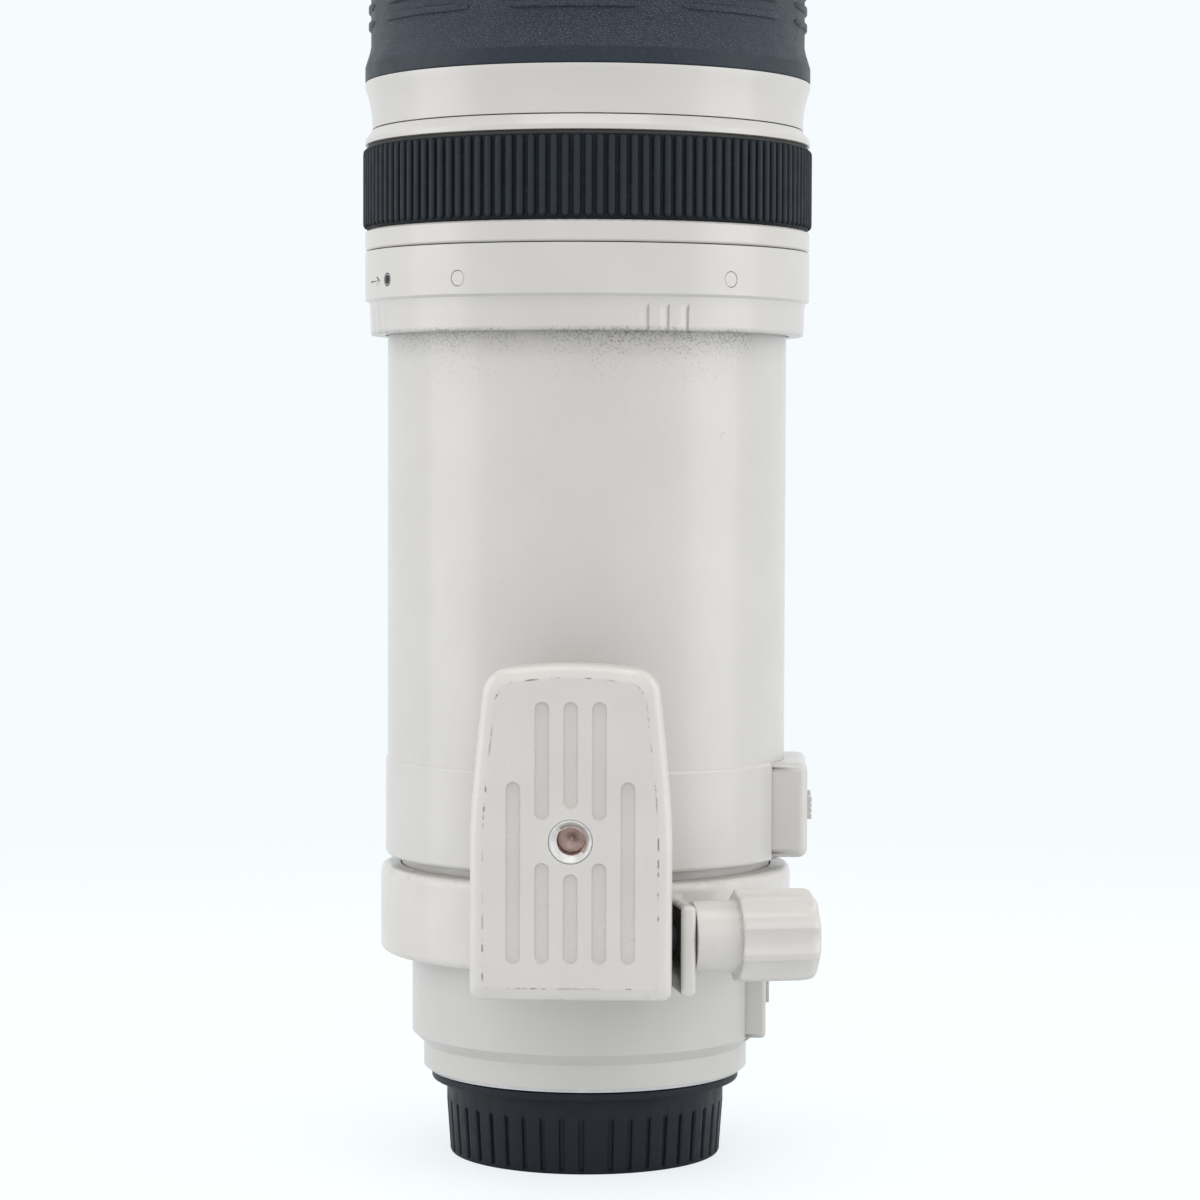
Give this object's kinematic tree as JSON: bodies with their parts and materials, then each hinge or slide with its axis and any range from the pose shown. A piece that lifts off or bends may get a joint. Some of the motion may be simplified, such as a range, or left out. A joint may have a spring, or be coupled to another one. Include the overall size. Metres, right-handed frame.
{
  "type": "camera zoom lens",
  "caption": "White push-pull telephoto zoom lens on its rear cap, drawn out, with a rotating tripod collar and foot, clamp knob, ribbed focus ring and rubber zoom grip.",
  "frame": {"origin": "middle of the rear cap's underside, on the optical axis, where the lens stands", "axes": "+Z along the optical axis towards the front glass, -Y towards the tripod foot, +X towards the clamp knob and the switches"},
  "size_m": [0.0937, 0.11, 0.2814],
  "materials": {
    "white_paint": "satin",
    "collar_paint": "satin",
    "switch_plastic": "satin",
    "black_plastic": "matte",
    "grip_rubber": "matte",
    "focus_rubber": "matte",
    "felt": "matte",
    "black_metal": "satin",
    "steel": "satin",
    "brass": "satin",
    "nylon": "satin",
    "board": "satin",
    "lens_glass": "polished",
    "window_pane": "polished"
  },
  "bodies": {
    "barrel": {"bayonet_mount": "steel", "mount_screws": "steel", "contact_block": "black_plastic", "contact_pins": "brass", "rear_baffle": "black_plastic", "rear_barrel": "white_paint", "rear_cell": "black_metal", "rear_elements": "lens_glass", "main_board": "board", "stabiliser_housing": "black_metal", "stabiliser_switch_panel": "white_paint", "mid_barrel": "white_paint", "distance_window": "window_pane", "focus_switch_panel": "white_paint", "motor_stator": "steel", "iris_housing": "black_plastic", "iris_blades": "black_metal", "guide_tube": "white_paint", "guide_barrel": "black_metal", "cam_retainer": "steel"},
    "rear_cap": {"rear_cap": "black_plastic"},
    "stabiliser_frame": {"stabiliser_frame": "steel"},
    "stabiliser": {"stabiliser_holder": "black_plastic", "stabiliser_element": "lens_glass"},
    "stabiliser_switch": {"stabiliser_switch": "switch_plastic"},
    "stabiliser_mode_switch": {"stabiliser_mode_switch": "switch_plastic"},
    "focus_mode_switch": {"focus_mode_switch": "switch_plastic"},
    "focus_limit_switch": {"focus_limit_switch": "switch_plastic"},
    "tripod_collar": {"collar_ring": "collar_paint", "collar_liner": "nylon", "tripod_foot": "collar_paint", "tripod_socket": "steel", "foot_screws": "steel"},
    "clamp_knob": {"clamp_knob": "collar_paint", "clamp_screw": "steel"},
    "focus_motor": {"motor_rotor": "brass", "distance_scale": "black_plastic"},
    "cam_tube": {"cam_tube": "brass"},
    "focus_group": {"focus_cell": "black_metal", "focus_element": "lens_glass"},
    "variator": {"variator_cell": "black_metal", "variator_element": "lens_glass", "variator_pins": "brass"},
    "zoom_sleeve": {"zoom_sleeve": "black_metal", "friction_band": "nylon", "slide_felt": "felt", "waist_band": "white_paint", "zoom_grip": "grip_rubber", "nose_band": "white_paint", "front_ring": "black_plastic", "front_barrel": "black_metal", "drive_rollers": "brass", "front_cell": "black_plastic", "front_element": "lens_glass", "second_element": "lens_glass", "front_retainer": "black_plastic"},
    "tension_ring": {"tension_ring": "white_paint", "tension_plugs": "white_paint"},
    "focus_ring": {"focus_ring_core": "white_paint", "focus_ring_rubber": "focus_rubber"}
  },
  "joints": [
    {"name": "zoom_slide", "type": "slide", "parent": "barrel", "child": "zoom_sleeve", "axis": [0, 0, 1], "range_m": [-0.075, 0]},
    {"name": "cam_turn", "type": "hinge", "parent": "barrel", "child": "cam_tube", "pos_m": [0, 0, 0], "axis": [0, 0, 1], "range_deg": [-0.5, 70.5]},
    {"name": "variator_slide", "type": "slide", "parent": "barrel", "child": "variator", "axis": [0, 0, 1], "range_m": [-0.0376, 0.0001]},
    {"name": "tension_turn", "type": "hinge", "parent": "zoom_sleeve", "child": "tension_ring", "pos_m": [0, 0, 0], "axis": [0, 0, 1], "range_deg": [-35, 35]},
    {"name": "focus_turn", "type": "hinge", "parent": "zoom_sleeve", "child": "focus_ring", "pos_m": [0, 0, 0], "axis": [0, 0, 1], "range_deg": [-75, 75]},
    {"name": "motor_turn", "type": "hinge", "parent": "barrel", "child": "focus_motor", "pos_m": [0, 0, 0], "axis": [0, 0, 1], "range_deg": [-75.5, 75.5]},
    {"name": "focus_slide", "type": "slide", "parent": "barrel", "child": "focus_group", "axis": [0, 0, 1], "range_m": [-0.00305, 0.00305]},
    {"name": "stabiliser_x", "type": "slide", "parent": "barrel", "child": "stabiliser_frame", "axis": [1, 0, 0], "range_m": [-0.001, 0.001]},
    {"name": "stabiliser_y", "type": "slide", "parent": "stabiliser_frame", "child": "stabiliser", "axis": [0, 1, 0], "range_m": [-0.001, 0.001]},
    {"name": "collar_turn", "type": "hinge", "parent": "barrel", "child": "tripod_collar", "pos_m": [0, 0, 0], "axis": [0, 0, 1], "continuous": true},
    {"name": "knob_turn", "type": "hinge", "parent": "tripod_collar", "child": "clamp_knob", "pos_m": [0.0215, -0.0485, 0.0509], "axis": [0.9781, 0.2079, 0], "range_deg": [0, 720]},
    {"name": "cap_twist", "type": "hinge", "parent": "barrel", "child": "rear_cap", "pos_m": [0, 0, 0], "axis": [0, 0, 1], "range_deg": [0, 60]},
    {"name": "stabiliser_switch_slide", "type": "slide", "parent": "barrel", "child": "stabiliser_switch", "axis": [0, 0, 1], "range_m": [-0.0015, 0.0015]},
    {"name": "stabiliser_mode_slide", "type": "slide", "parent": "barrel", "child": "stabiliser_mode_switch", "axis": [0, 0, 1], "range_m": [-0.0015, 0.0015]},
    {"name": "focus_mode_slide", "type": "slide", "parent": "barrel", "child": "focus_mode_switch", "axis": [0, 0, 1], "range_m": [-0.0015, 0.0015]},
    {"name": "focus_limit_slide", "type": "slide", "parent": "barrel", "child": "focus_limit_switch", "axis": [0, 0, 1], "range_m": [-0.0015, 0.0015]}
  ],
  "couplings": [
    {"joint": "cam_turn", "follows": "zoom_slide", "rad_per_m": -16.29},
    {"joint": "variator_slide", "follows": "zoom_slide", "ratio": 0.5},
    {"joint": "motor_turn", "follows": "focus_turn", "ratio": 1},
    {"joint": "focus_slide", "follows": "focus_turn", "m_per_rad": 0.0022918}
  ]
}
